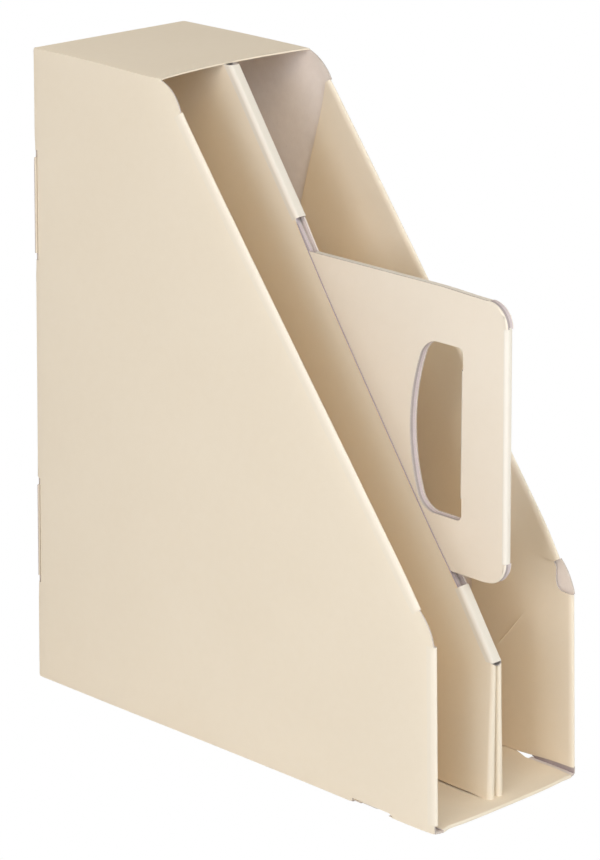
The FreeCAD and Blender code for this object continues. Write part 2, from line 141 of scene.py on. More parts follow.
board = {
    "ivory": (0.895, 0.785, 0.630),
    "ivoryWarm": (0.865, 0.750, 0.590),
    # painted shade: darker, warmer coat colours for board lying deep in the bays
    "bay": (0.890, 0.715, 0.495),
    "paintedShadeWarm": (0.860, 0.682, 0.460),
    # painted shade for the bends: darker and paler than the coat, to dim their highlight
    "crease": (0.835, 0.768, 0.672),
    "handle": (0.905, 0.803, 0.675),
    "handleWarm": (0.875, 0.770, 0.635),
    "reverse": (0.900, 0.805, 0.735),
    "reverseDark": (0.800, 0.700, 0.630),
    # painted shade for the raw reverse in hollows and gaps
    "reversePaintedShade": (0.400, 0.320, 0.330),
    "fleck": (0.47, 0.40, 0.36),
    "fleckLevel": 0.69,
    "fleckShare": 0.30,
    "edge": (0.700, 0.620, 0.560),
    "edgeDark": (0.430, 0.360, 0.320),
    "coreGrey": (0.490, 0.410, 0.400),
    "corePale": (0.740, 0.630, 0.640),
    "fibreLength": 2.4 * mm,
    "fibreWidth": 0.22 * mm,
    "plyWander": 0.2 * mm,
}
textures = {  # size, detail and roughness of each noise
    "cloud": (55 * mm, 1, 0.5),
    "formation": (5 * mm, 4, 0.6),
    "grain": (0.55 * mm, 3, 0.6),
    "torn": (0.55 * mm, 4, 0.7),
    "plies": (0.12 * mm, 2, 0.5),
    "fibres": (1, 3, 0.65),
}
surfaces = {
    "coat": {
        # the fold-shade keys set how much painted shade the bends take, broken up by the grain
        "mean": 0.45, "cloud": 0.9, "formation": 0.8, "grain": 0.35, "wear": 0.6, "foldShadeGrain": 0.5,
        "roughness": 0.50, "grainRoughness": 0.14, "creaseRoughness": 0.12,
        "specular": 0.4, "bump": 0.10, "bumpDepth": 0.05 * mm, "grainBump": 0.6,
    },
    "raw": {
        "mean": 0.25, "formation": 1.0, "fibres": 0.7,
        "roughness": 0.85, "specular": 0.25, "bump": 0.25, "bumpDepth": 0.08 * mm, "fibreBump": 0.7,
    },
    "edge": {
        "mean": 0.35, "plies": 1.6, "torn": 1.2,
        "roughness": 0.9, "specular": 0.2, "bump": 0.5, "bumpDepth": 0.08 * mm,
    },
    "core": {
        "mean": 0.2, "torn": 0.8,
        "roughness": 0.9, "specular": 0.2, "bump": 0.4, "bumpDepth": 0.08 * mm,
    },
}


def newFinish(name):
    finish = bpy.data.materials.new(name)
    finish.use_nodes = True
    nodes = Nodes(finish.node_tree)
    return finish, nodes, nodes.node("ShaderNodeTexCoord", output=3)


def shade(nodes, surface, colour, height, roughness=0):
    relief = {"Strength": surface["bump"], "Distance": surface["bumpDepth"], "Height": height}
    nodes.node("ShaderNodeOutputMaterial", None, {
        "Surface": nodes.node("ShaderNodeBsdfPrincipled", None, {
            "Base Color": colour, "Roughness": roughness + surface["roughness"],
            "Normal": nodes.node("ShaderNodeBump", None, relief), "Specular IOR Level": surface["specular"],
        }),
    })


def coatFinish(name, light, warm):  # smooth ivory face of the board
    finish, nodes, place = newFinish(name)
    surface = surfaces["coat"]
    cloud = nodes.noise(place, "cloud")
    formation = nodes.noise(place, "formation")
    grain = nodes.noise(place, "grain")
    tone = nodes.mottle(surface, cloud=cloud, formation=formation, grain=grain)
    colour = nodes.blend(tone, light, warm)
    # painted shade: the coat darkens and warms where the board lies deep in the bays
    colour = nodes.blend(nodes.stored("bay"), colour, nodes.blend(tone, board["bay"], board["paintedShadeWarm"]))
    crease = nodes.stored("crease")
    # painted shade on the bends, dimming their highlight, broken up by the grain
    foldShade = nodes.maths("MULTIPLY", crease, grain * surface["foldShadeGrain"] + surface["wear"], clamp=True)
    colour = nodes.blend(foldShade, colour, board["crease"])
    roughness = (grain - 0.5) * surface["grainRoughness"] + crease * surface["creaseRoughness"]
    height = grain * surface["grainBump"] + formation * (1 - surface["grainBump"])
    shade(nodes, surface, colour, height, roughness)
    return finish


def rawFinish():  # uncoated greyish pink reverse, with fibres along the grain
    finish, nodes, place = newFinish("rawReverse")
    surface = surfaces["raw"]
    stretch = (1 / board["fibreWidth"], 1 / board["fibreWidth"], 1 / board["fibreLength"])
    fibres = nodes.noise(nodes.vector("MULTIPLY", [place, stretch]), "fibres")
    formation = nodes.noise(place, "formation")
    flecks = nodes.maths("GREATER_THAN", fibres, board["fleckLevel"])
    tone = nodes.mottle(surface, formation=formation, fibres=fibres)
    colour = nodes.blend(tone, board["reverse"], board["reverseDark"])
    colour = nodes.blend(flecks * board["fleckShare"], colour, board["fleck"])
    # painted shade: the reverse darkens in hollows and gaps
    colour = nodes.blend(nodes.stored("bay"), colour, board["reversePaintedShade"])
    shade(nodes, surface, colour, fibres * surface["fibreBump"] + formation * (1 - surface["fibreBump"]))
    return finish


def edgeFinish():  # cut edge: thin pale and grey plies between the faces
    finish, nodes, place = newFinish("cutEdge")
    surface = surfaces["edge"]
    plies = nodes.noise(place, "plies")
    torn = nodes.noise(place, "torn")
    tone = nodes.mottle(surface, plies=plies, torn=torn)
    shade(nodes, surface, nodes.blend(tone, board["edge"], board["edgeDark"]), torn)
    return finish


def coreFinish():  # cut edge of the handle's core: a grey ply and a paler one
    finish, nodes, place = newFinish("greyCore")
    surface = surfaces["core"]
    torn = nodes.noise(place, "torn")
    across = nodes.node("ShaderNodeSeparateXYZ", None, [place]).out("X")
    paler = nodes.maths("GREATER_THAN", across + (torn - 0.5) * board["plyWander"], 0)
    colour = nodes.blend(paler, board["coreGrey"], board["corePale"])
    shade(nodes, surface, nodes.blend(nodes.mottle(surface, torn=torn), colour, board["edgeDark"]), torn)
    return finish


coat = coatFinish("ivoryCoat", board["ivory"], board["ivoryWarm"])
handleCoat = coatFinish("handleCoat", board["handle"], board["handleWarm"])
reverse = rawFinish()
cutEdge = edgeFinish()
core = coreFinish()
print("finishes ready")


# Shared sizes and places, in the frame's metres

shell = {
    "board": 0.7 * mm,
    "frontHeight": 91 * mm,
    "topDepth": 90 * mm,
    "lidEdgeDepth": 87 * mm,
    "upperReliefLength": 17.3 * mm,
    "upperReliefBow": 2 * mm,
    "lowerReliefLength": 16.7 * mm,
    "lowerReliefBow": 1.6 * mm,
    "lowerReliefSetback": 0.5 * mm,
    "hemTop": 89 * mm,
    "hemRadius": 1.3 * mm,
    "hemStretch": 2.3,
    "bendFlat": 1.5 * mm,
    "foldRound": 0.65 * mm,
    "foldSteps": 6,
    "cutRound": 0.07 * mm,
    "cutSteps": 2,
    "cell": 14 * mm,
    "sharpAngle": math.radians(35),
}
thick = shell["board"]
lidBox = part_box("top_panel")
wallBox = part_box("right_side_panel")
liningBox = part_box("right_front_lining")
halfWidth, rearFace, topLevel = lidBox[1]
frontPlane = liningBox[0][1]
lidEdge = rearFace - shell["lidEdgeDepth"]


class Slope:
    # Places by distance along a slanted edge and by distance inward, square to it
    def __init__(self, low, high):
        self.low = Vector(low)
        self.length = (Vector(high) - self.low).length
        self.along = (Vector(high) - self.low) / self.length
        self.inward = Vector((self.along.y, -self.along.x))

    def point(self, along, inward=0):
        return tuple(self.low + self.along * along + self.inward * inward)

    def alongAt(self, height, inward=0):
        return (height - self.low.y - self.inward.y * inward) / self.along.y

    def atHeight(self, height, inward=0):
        return self.point(self.alongAt(height, inward), inward)

    def distance(self, point):
        return (point.yz - self.low).dot(self.inward)


slope = Slope((frontPlane, shell["frontHeight"]), (rearFace - shell["topDepth"], topLevel))
lowerHemEnd = shell["lowerReliefLength"]
upperHemEnd = slope.length - shell["upperReliefLength"]


# Soft shapes that folded board takes. Pairs by side are for -1, left, and 1, right.

settling = {
    "outer": (38 * mm, 46 * mm),
    "hemRoll": 0.9 * mm,
    "hemRollWidth": 14 * mm,
    "bulge": 0.93 * mm,
    "bulgeReach": 90 * mm,
    "slopeShift": {-1: -0.8 * mm, 1: 1.5 * mm},
    "slopeShiftReach": 50 * mm,
    "slopeShiftRise": (100 * mm, 260 * mm),
    "slopeShiftEnd": (300 * mm, 318 * mm),
    "rearFlare": 0.7 * mm,
    "rearFlareDepth": 90 * mm,
    "rearFlareHeight": 220 * mm,
    "foldRoll": 0.3 * mm,
    "foldRollWidth": 6 * mm,
    "frontLean": {-1: (-2.5 * mm, 1.0 * mm), 1: (-1.1 * mm, 3.2 * mm)},
    "leanReach": 60 * mm,
    "leanFade": (95 * mm, 125 * mm),
    "lidSag": (1.1 * mm, 0.5 * mm),
    "lidForward": (1.6 * mm, 0.2 * mm),
    "lidSagDepth": 55 * mm,
    "lidSagHeight": 48 * mm,
}


def rising(value, start, end):  # from 0 at start smoothly to 1 at end
    share = max(0, min(1, (value - start) / (end - start)))
    return share * share * (3 - 2 * share)


def falling(value, start, end):
    return 1 - rising(value, start, end)


def between(first, second, share):
    return first + (second - first) * share


def nearEdge(distance, width):
    return max(0, 1 - max(0, distance) / width) ** 2


# The shell's folds stand a little rounder than the board's own crease.
def roundFolds(point):
    width, depth = settling["foldRollWidth"], settling["foldRoll"]
    beside = nearEdge(halfWidth - abs(point.x), width)
    behind = nearEdge(rearFace - point.y, width)
    above = nearEdge(topLevel - point.z, width)
    below = nearEdge(point.z, width)
    return Vector((
        -math.copysign(depth, point.x) * max(beside * above, beside * below, beside * behind),
        -depth * max(beside * behind, above * behind, below * behind),
        depth * max(beside * below, behind * below) - depth * max(beside * above, behind * above),
    ))


def settleShell(point):
    side = 1 if point.x > 0 else -1
    beyond = slope.distance(point)
    reach = min(beyond, point.y - frontPlane)
    outer = rising(abs(point.x), *settling["outer"])
    moved = point + roundFolds(point)
    roll = nearEdge(reach, settling["hemRollWidth"]) * settling["hemRoll"]
    swell = settling["bulge"] * falling(reach, 0, settling["bulgeReach"])
    flare = settling["rearFlare"] * rising(point.y, 0, settling["rearFlareDepth"])
    flare *= falling(point.z, 0, settling["rearFlareHeight"])
    moved.x += side * outer * (swell + flare - roll)
    shift = settling["slopeShift"][side] * outer * falling(beyond, 0, settling["slopeShiftReach"])
    shift *= rising(point.z, *settling["slopeShiftRise"]) * falling(point.z, *settling["slopeShiftEnd"])
    moved.y -= slope.inward.x * shift
    moved.z -= slope.inward.y * shift
    lean = between(*settling["frontLean"][side], min(1, point.z / shell["hemTop"]))
    lean *= outer * falling(point.z, *settling["leanFade"])
    moved.y += lean * falling(point.y - frontPlane, 0, settling["leanReach"])
    ahead = falling(point.y - lidEdge, 0, settling["lidSagDepth"])
    ahead *= falling(topLevel - point.z, 0, settling["lidSagHeight"])
    across = point.x / halfWidth / 2 + 0.5
    moved.z -= ahead * between(*settling["lidSag"], across)
    moved.y -= ahead * between(*settling["lidForward"], across)
    return Vector(max(low, min(high, value)) for value, low, high in zip(moved, *cadBounds))


# Outlines: a corner is (a, b), or (a, b, (a, b)) where an arc leaves it through a middle point.

def arcPoints(first, middle, last, steps):
    a, b, c = Vector(first), Vector(middle), Vector(last)
    turn = 2 * (b - a).cross(c - a)
    lift = (b - a).length_squared * (c - a) - (c - a).length_squared * (b - a)
    centre = a + Vector((lift.y, -lift.x)) / turn
    start = math.atan2(a.y - centre.y, a.x - centre.x)
    end = math.atan2(c.y - centre.y, c.x - centre.x)
    sweep = (end - start) % math.tau if turn > 0 else -((start - end) % math.tau)
    radius = (a - centre).length
    angles = [start + sweep * step / steps for step in range(steps)]
    return [(centre.x + radius * math.cos(angle), centre.y + radius * math.sin(angle)) for angle in angles]


def drawn(corners, steps=10):
    points = []
    for place, corner in enumerate(corners):
        following = corners[(place + 1) % len(corners)]
        points += arcPoints(corner[:2], corner[2], following[:2], steps) if len(corner) == 3 else [corner[:2]]
    return points


def bowed(first, second, bow):
    a, b = Vector(first[:2]), Vector(second[:2])
    run = (b - a).normalized()
    return tuple((a + b) / 2 + Vector((-run.y, run.x)) * bow)


# How far the middle of a quarter arc lies in from the sides of its corner
def arcInset(radius):
    return radius * (1 - math.sqrt(0.5))


def mirrored(corners):
    return [(-corner[0], corner[1]) for corner in reversed(corners)]


# Lines at several distances from an edge, on the side that the normal looks to
def bandLines(spot, normal, distances):
    spot, normal = Vector(spot), Vector(normal)
    return [(spot + normal * distance, tuple(normal)) for distance in distances]


hemBands = [distance * mm for distance in (3.4, 4.2, 5.2, 6.4, 8, 11, 15, 20)]
foldBands = [distance * mm for distance in (0.9, 1.8, 3, 4.5, 6.5)]


def hemCuts(edge, front):  # beside a slanted edge and beside an upright one
    return bandLines(edge.low, edge.inward, hemBands) + bandLines((front, 0), (1, 0), hemBands)


def edgeCuts(left, right, low, high):
    cuts = []
    for spot, normal in (((left, 0), (1, 0)), ((right, 0), (-1, 0)), ((0, low), (0, 1)), ((0, high), (0, -1))):
        cuts += bandLines(spot, normal, foldBands)
    return cuts


# Cut sheets of board

planes = {
    "x": lambda a, b, level: Vector((level, a, b)),
    "y": lambda a, b, level: Vector((a, level, b)),
    "z": lambda a, b, level: Vector((a, b, level)),
}
lineGap = 0.002 * mm  # a point this near to a line lies on it
anyAngle = 3.1  # flat triangles are joined across edges of any shape


def onLine(point, line):
    first, second = Vector(line[0]), Vector(line[1])
    run = second - first
    share = (point - first).dot(run) / run.length_squared
    return -0.001 < share < 1.001 and (first + run * share - point).length < lineGap


# Gives the open sheet its thickness: its faces take the first kind, their copies the second. Each new
# wall takes the third and comes back with its upper edge.
def thicken(sheet, rim, lower, kinds):
    for polygon in sheet.faces[:]:
        polygon.material_index = kinds[0]
        sheet.faces.new([lower[vertex] for vertex in reversed(polygon.verts)]).material_index = kinds[1]
    walls = []
    for edge in rim:
        loop = edge.link_loops[0]
        first, second = loop.vert, loop.link_loop_next.vert
        wallFace = sheet.faces.new((second, first, lower[first], lower[second]))
        wallFace.material_index = kinds[2]
        walls.append((edge, wallFace, first, second))
    return walls


def rounded(sheet, edges, radius, steps, **more):
    if edges:
        bmesh.ops.bevel(sheet, geom=edges, offset=radius, segments=steps, profile=0.5, affect="EDGES", **more)


# Makes a flat sheet whose coated face lies at level and faces up or down its axis. Its outline edges on
# the fold lines are rounded by foldRound on the coated side, and those on plain lines stay square.
# Cuts are more lines, as a point and a normal, along which the sheet is divided so that it can bend.
def cutSheet(loops, axis, level, facing, thickness=thick, folds=(), plain=(), cuts=(), kinds=(0, 1, 2)):
    sheet = bmesh.new()
    outlineEdges = []
    for loop in loops:
        corners = [sheet.verts.new((a, b, 0)) for a, b in loop]
        outlineEdges += [sheet.edges.new((corners[i - 1], corners[i])) for i in range(len(corners))]
    bmesh.ops.triangle_fill(sheet, use_beauty=True, edges=outlineEdges)
    lines = list(cuts)
    for normal in ((1, 0), (0, 1)):
        spots = [vertex.co.xy.dot(Vector(normal)) for vertex in sheet.verts]
        count = int((max(spots) - min(spots)) / shell["cell"])
        for step in range(1, count + 1):
            spot = min(spots) + (max(spots) - min(spots)) * step / (count + 1)
            lines.append((Vector(normal) * spot, normal))
    for spot, normal in lines:
        everything = sheet.verts[:] + sheet.edges[:] + sheet.faces[:]
        bmesh.ops.bisect_plane(sheet, geom=everything, plane_co=(*spot, 0), plane_no=(*normal, 0))
    bmesh.ops.join_triangles(sheet, faces=sheet.faces, angle_face_threshold=anyAngle, angle_shape_threshold=anyAngle)
    flat = {vertex: vertex.co.xy.copy() for vertex in sheet.verts}
    for vertex in sheet.verts:
        vertex.co = planes[axis](vertex.co.x, vertex.co.y, level)
    bmesh.ops.recalc_face_normals(sheet, faces=sheet.faces)
    outward = planes[axis](0, 0, facing)
    sheet.faces.ensure_lookup_table()
    if sheet.faces[0].normal.dot(outward) < 0:
        bmesh.ops.reverse_faces(sheet, faces=sheet.faces)
    rim = [edge for edge in sheet.edges if edge.is_boundary]
    lower = {vertex: sheet.verts.new(vertex.co - outward * thickness) for vertex in sheet.verts[:]}
    folded, cut = [], []
    for edge, wallFace, first, second in thicken(sheet, rim, lower, kinds):
        middle = (flat[first] + flat[second]) / 2
        if any(onLine(middle, line) for line in folds):
            wallFace.material_index = kinds[0]
            folded.append(edge)
        elif not any(onLine(middle, line) for line in plain):
            cut += [edge, sheet.edges.get((lower[first], lower[second]))]
    rounded(sheet, folded, shell["foldRound"], shell["foldSteps"])
    cut = [edge for edge in cut if edge.is_valid]
    rounded(sheet, cut, shell["cutRound"], shell["cutSteps"], clamp_overlap=True)
    return sheet


# Folded board by geometry nodes: a flat, a bend and a second flat, laid along a straight crease. The
# bend reaches Stretch times its Radius beyond Origin. The columns of the grid are shared out among the
# three, and those of the second flat widen away from the bend. The second flat comes back by Relax over
# Relax Length, as springy board does beside a hem.

foldInputs = {
    "Float": ("Length", "Before", "Radius", "Stretch", "Angle", "After", "Low Skew", "High Skew", "Relax",
              "Relax Length", "Bow", "Waviness"),
    "Vector": ("Origin", "Toward", "Inward", "Along"),
    "Int": ("Rows", "Seed"),
    "Material": ("Coat",),
}
foldColumns = {"count": 40, "bendStart": 0.08, "bendEnd": 0.5, "widening": 1.7, "waves": 60}


def foldTree():
    tree = bpy.data.node_groups.new("foldedBoard", "GeometryNodeTree")
    tree.interface.new_socket(name="Geometry", in_out="OUTPUT", socket_type="NodeSocketGeometry")
    for kind, names in foldInputs.items():
        for name in names:
            tree.interface.new_socket(name=name, in_out="INPUT", socket_type=f"NodeSocket{kind}")
    nodes = Nodes(tree)
    given = nodes.node("NodeGroupInput")
    size = {name: given.out(name) for names in foldInputs.values() for name in names}
    gridValues = {"Size X": 1, "Size Y": 1, "Vertices X": foldColumns["count"], "Vertices Y": size["Rows"]}
    grid = nodes.node("GeometryNodeMeshGrid", None, gridValues)
    spot = nodes.node("ShaderNodeSeparateXYZ", None, [nodes.node("GeometryNodeInputPosition")])
    column = spot.out("X") + 0.5
    row = spot.out("Y") + 0.5

    def stretch(value, start, end, length, shape="LINEAR"):
        return nodes.node("ShaderNodeMapRange", {"interpolation_type": shape}, [value, start, end, 0, length])

    before = stretch(column, 0, foldColumns["bendStart"], size["Before"])
    turned = stretch(column, foldColumns["bendStart"], foldColumns["bendEnd"], size["Angle"])
    share = stretch(column, foldColumns["bendEnd"], 1, 1)
    after = nodes.maths("POWER", share, foldColumns["widening"]) * size["After"]
    relaxed = stretch(after, 0, size["Relax Length"], size["Relax"], "SMOOTHSTEP")
    forward = before - size["Before"] + size["Radius"] * size["Stretch"] * nodes.maths("SINE", turned)
    forward = forward + after * nodes.maths("COSINE", size["Angle"])
    depth = size["Radius"] * (1 - nodes.maths("COSINE", turned)) + after * nodes.maths("SINE", size["Angle"])
    depth = depth - relaxed
    low = after * size["Low Skew"]
    high = size["Length"] + after * size["High Skew"]
    along = low + (high - low) * row
    centred = row * 2 - 1
    forward = forward + size["Bow"] * (1 - centred * centred * centred * centred)
    wave = nodes.node("ShaderNodeTexNoise", {"noise_dimensions": "1D"},
                      {"W": along * foldColumns["waves"] + size["Seed"], "Scale": 1})
    forward = forward + (wave - 0.5) * size["Waviness"]
    where = size["Origin"]
    for direction, amount in (("Toward", forward), ("Inward", depth), ("Along", along)):
        where = nodes.vector("ADD", [where, nodes.vector("SCALE", {0: size[direction], "Scale": amount})])
    moved = nodes.node("GeometryNodeSetPosition", None, {"Geometry": grid, "Position": where})
    marked = nodes.node("GeometryNodeStoreNamedAttribute", {"data_type": "FLOAT", "domain": "POINT"},
                        {"Geometry": moved, "Name": "crease", "Value": nodes.maths("SINE", turned)})
    real = nodes.node("GeometryNodeRealizeInstances", None, [marked])
    painted = nodes.node("GeometryNodeSetMaterial", None, {"Geometry": real, "Material": size["Coat"]})
    nodes.node("NodeGroupOutput", None, [painted])
    return tree


foldedBoard = foldTree()
foldSockets = {item.name: item.identifier for item in foldedBoard.interface.items_tree if item.in_out == "INPUT"}
foldDefaults = {
    "Before": shell["bendFlat"], "Stretch": 1, "Angle": math.pi, "Low Skew": 0, "High Skew": 0, "Relax": 0,
    "Relax Length": 15 * mm, "Bow": 0, "Waviness": 0, "Rows": 24, "Seed": 1, "Coat": coat,
}


# Runs the fold tree and gives the sheet its thickness.
def foldSheet(**sizes):
    carrier = bpy.data.objects.new("foldCarrier", bpy.data.meshes.new("foldCarrier"))
    scene.collection.objects.link(carrier)
    modifier = carrier.modifiers.new("fold", "NODES")
    modifier.node_group = foldedBoard
    given = foldDefaults | {name.replace("_", " "): value for name, value in sizes.items()}
    for name, value in given.items():
        modifier[foldSockets[name]] = tuple(value) if isinstance(value, Vector) else value
    evaluated = carrier.evaluated_get(bpy.context.evaluated_depsgraph_get())
    made = bpy.data.meshes.new_from_object(evaluated)
    carrier.modifiers.remove(modifier)
    bpy.data.objects.remove(carrier)
    sheet = bmesh.new()
    sheet.from_mesh(made)
    bpy.data.meshes.remove(made)
    origin, inward = given["Origin"], given["Inward"]
    lead = min(sheet.faces, key=lambda polygon: (polygon.calc_center_median() - origin).dot(inward))
    sheet.normal_update()
    if lead.normal.dot(inward) > 0:
        bmesh.ops.reverse_faces(sheet, faces=sheet.faces)
    sheet.normal_update()
    crease = sheet.verts.layers.float.get("crease")
    rim = [edge for edge in sheet.edges if edge.is_boundary]
    lower = {}
    for vertex in sheet.verts[:]:
        lower[vertex] = sheet.verts.new(vertex.co - vertex.normal * thick)
        lower[vertex][crease] = 0
    thicken(sheet, rim, lower, (0, 1, 2))
    return sheet


# A fold on one side of the middle. Spot, toward and along are a place and directions in the YZ plane.
def sideFold(side, half, spot, toward=(-1, 0), along=(0, 1), **sizes):
    return foldSheet(Origin=Vector((side * half, *spot)), Toward=Vector((0, *toward)),
                     Inward=Vector((-side, 0, 0)), Along=Vector((0, *along)), **sizes)


# Finished pieces

# A piece stands for one node, and takes its name unless it has one of its own. Its painted-shade function gives
# how far a point lies inside the bays, from 0 to 1: the colour there is darkened and warmed as painted shade.
def finishPiece(node, *sheets, name=None, body="box", slot="shell_board", shape=settleShell,
                finishes=(coat, reverse, cutEdge), bay=lambda point: 0):
    first, *rest = node.split("_")
    name = name or first + "".join(word.capitalize() for word in rest)
    whole = bmesh.new()
    for sheet in sheets:
        made = bpy.data.meshes.new(name)
        sheet.to_mesh(made)
        sheet.free()
        whole.from_mesh(made)
        bpy.data.meshes.remove(made)
    # each point's painted shade amount is stored for the finishes
    paintedShadeLayer = whole.verts.layers.float.new("bay")
    for vertex in whole.verts:
        vertex[paintedShadeLayer] = bay(vertex.co)
        vertex.co = shape(vertex.co)
    for polygon in whole.faces:
        polygon.smooth = True
    mesh = bpy.data.meshes.new(name)
    whole.to_mesh(mesh)
    whole.free()
    for finish in finishes:
        mesh.materials.append(finish)
    mesh.set_sharp_from_angle(angle=shell["sharpAngle"])
    piece = bpy.data.objects.new(name, mesh)
    scene.collection.objects.link(piece)
    weigh = piece.modifiers.new("weigh", "WEIGHTED_NORMAL")
    weigh.keep_sharp = True
    evaluated = piece.evaluated_get(bpy.context.evaluated_depsgraph_get())
    piece.data = bpy.data.meshes.new_from_object(evaluated)
    piece.modifiers.remove(weigh)
    bpy.data.meshes.remove(mesh)
    piece.data.name = name
    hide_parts(node)
    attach(piece, body)


# Walls

tabs = {
    "slotDepth": 1.4 * mm,
    "endGap": 3 * mm,
    "length": 48 * mm,
    "ease": 0.6 * mm,
    "heights": (77.4 * mm, 241.5 * mm),
}
floorSlot = {"front": 24.7 * mm, "length": 25 * mm, "height": 1.4 * mm, "taper": 2.8 * mm, "notch": 5 * mm}
slotFront = frontPlane + floorSlot["front"]
slotRear = slotFront + floorSlot["length"]
liningLift = 4.3 * mm
gapShade = 6 * mm


def notchedEdge(edge, depth):
    half = tabs["length"] / 2 + tabs["endGap"]
    corners = []
    for height in tabs["heights"]:
        corners += [(edge, height - half), (edge - depth, height - half), (edge - depth, height + half),
                    (edge, height + half)]
    return corners


def makeWall(side, word):
    (low, high), rear = (wallBox[0][2], wallBox[1][2]), wallBox[1][1]
    ceiling = low + floorSlot["height"]
    inset = shell["hemRadius"] * shell["hemStretch"] + shell["bendFlat"]
    edge = frontPlane + thick
    topStart = (lidEdge, high)
    topEnd = slope.point(upperHemEnd)
    lowStart = slope.point(lowerHemEnd)
    lowEnd = (frontPlane + shell["lowerReliefSetback"], shell["hemTop"])
    foldStart, foldEnd = slope.point(upperHemEnd, inset), slope.point(lowerHemEnd, inset)
    corners = [
        (frontPlane + inset, liningLift), (edge, liningLift), (edge, low),
        (slotFront, low), (slotFront + floorSlot["taper"], ceiling), (slotRear, ceiling), (slotRear, low),
        (rear, low), *notchedEdge(rear, tabs["slotDepth"]), (rear, high),
        (*topStart, bowed(topStart, topEnd, -shell["upperReliefBow"])),
        topEnd, foldStart, foldEnd,
        (*lowStart, bowed(lowStart, lowEnd, -shell["lowerReliefBow"])),
        lowEnd,
        (frontPlane + inset, shell["hemTop"]),
    ]
    plain = [(foldStart, foldEnd), (corners[-1], corners[0]), ((edge, low), (rear, low)),
             ((rear, low), (rear, high)), ((rear, high), topStart)]
    cuts = hemCuts(slope, frontPlane)
    for spot, normal in (((rear, 0), (-1, 0)), ((0, high), (0, -1)), ((0, low), (0, 1))):
        cuts += bandLines(spot, normal, foldBands)
    sheet = cutSheet([drawn(corners)], "x", side * halfWidth, side, plain=plain, cuts=cuts)

    def bay(point):  # painted shade: the wall's inner face darkens towards the floor, in the gap below the lining
        return falling(point.z, 0, gapShade) * (abs(point.x) < halfWidth - thick / 2)

    finishPiece(f"{word}_side_panel", sheet, name=f"{word}Wall", bay=bay)


for side, word in sides:
    makeWall(side, word)
print("walls ready")


# Linings, each with the rounded bend of its hem

lining = {
    "width": 72 * mm,
    "tailSetback": 72.3 * mm,
    "seam": 103.5 * mm,
    "seamGap": 0.4 * mm,
    "depth": 66 * mm,
    "stepDepth": 27 * mm,
    "stepLift": 2.5 * mm,
    "footDepth": 33.5 * mm,
    "footLift": 2.1 * mm,
    "notchDepth": 11.3 * mm,
    "notchFlare": 3.1 * mm,
    "notchRadius": 5 * mm,
    "waviness": 0.12 * mm,
    "relaxLength": 16 * mm,
    "paintedShadeReach": 45 * mm,
    "scarLow": (-83.5 * mm, 52.6 * mm),
    "scarHigh": (-96.8 * mm, 68.8 * mm),
    "scarWidth": 0.8 * mm,
    "scarLift": 0.5 * mm,
}
jointBands = [distance * mm for distance in (1, 2, 3.5, 5, 7, 9, 12)]
liningLevel = halfWidth - 2 * shell["hemRadius"]
liningRelax = liningBox[0][0] - liningLevel
hemInset = shell["hemRadius"] * shell["hemStretch"]
hemSizes = {"Radius": shell["hemRadius"], "Stretch": shell["hemStretch"], "Waviness": lining["waviness"]}


# painted shade on the linings: the colour deepens away from the slanted and front edges
def liningPaintedShade(point):
    deep = min(slope.distance(point), point.y - frontPlane)
    return falling(abs(point.x), liningLevel, halfWidth) * rising(deep, 0, lining["paintedShadeReach"])


def slopeLining(side, node):
    reach = lining["width"] - hemInset
    lowEnd = slope.alongAt(lining["seam"], lining["width"])
    highEnd = slope.length - lining["tailSetback"]
    sheet = sideFold(
        side, halfWidth, slope.point(lowerHemEnd, hemInset), -slope.inward, slope.along, **hemSizes,
        Length=upperHemEnd - lowerHemEnd, After=reach, Low_Skew=(lowEnd - lowerHemEnd) / reach,
        High_Skew=(highEnd - upperHemEnd) / reach, Relax=liningRelax, Relax_Length=lining["relaxLength"],
        Rows=60, Seed=3 + side,
    )
    finishPiece(node, sheet, bay=liningPaintedShade)


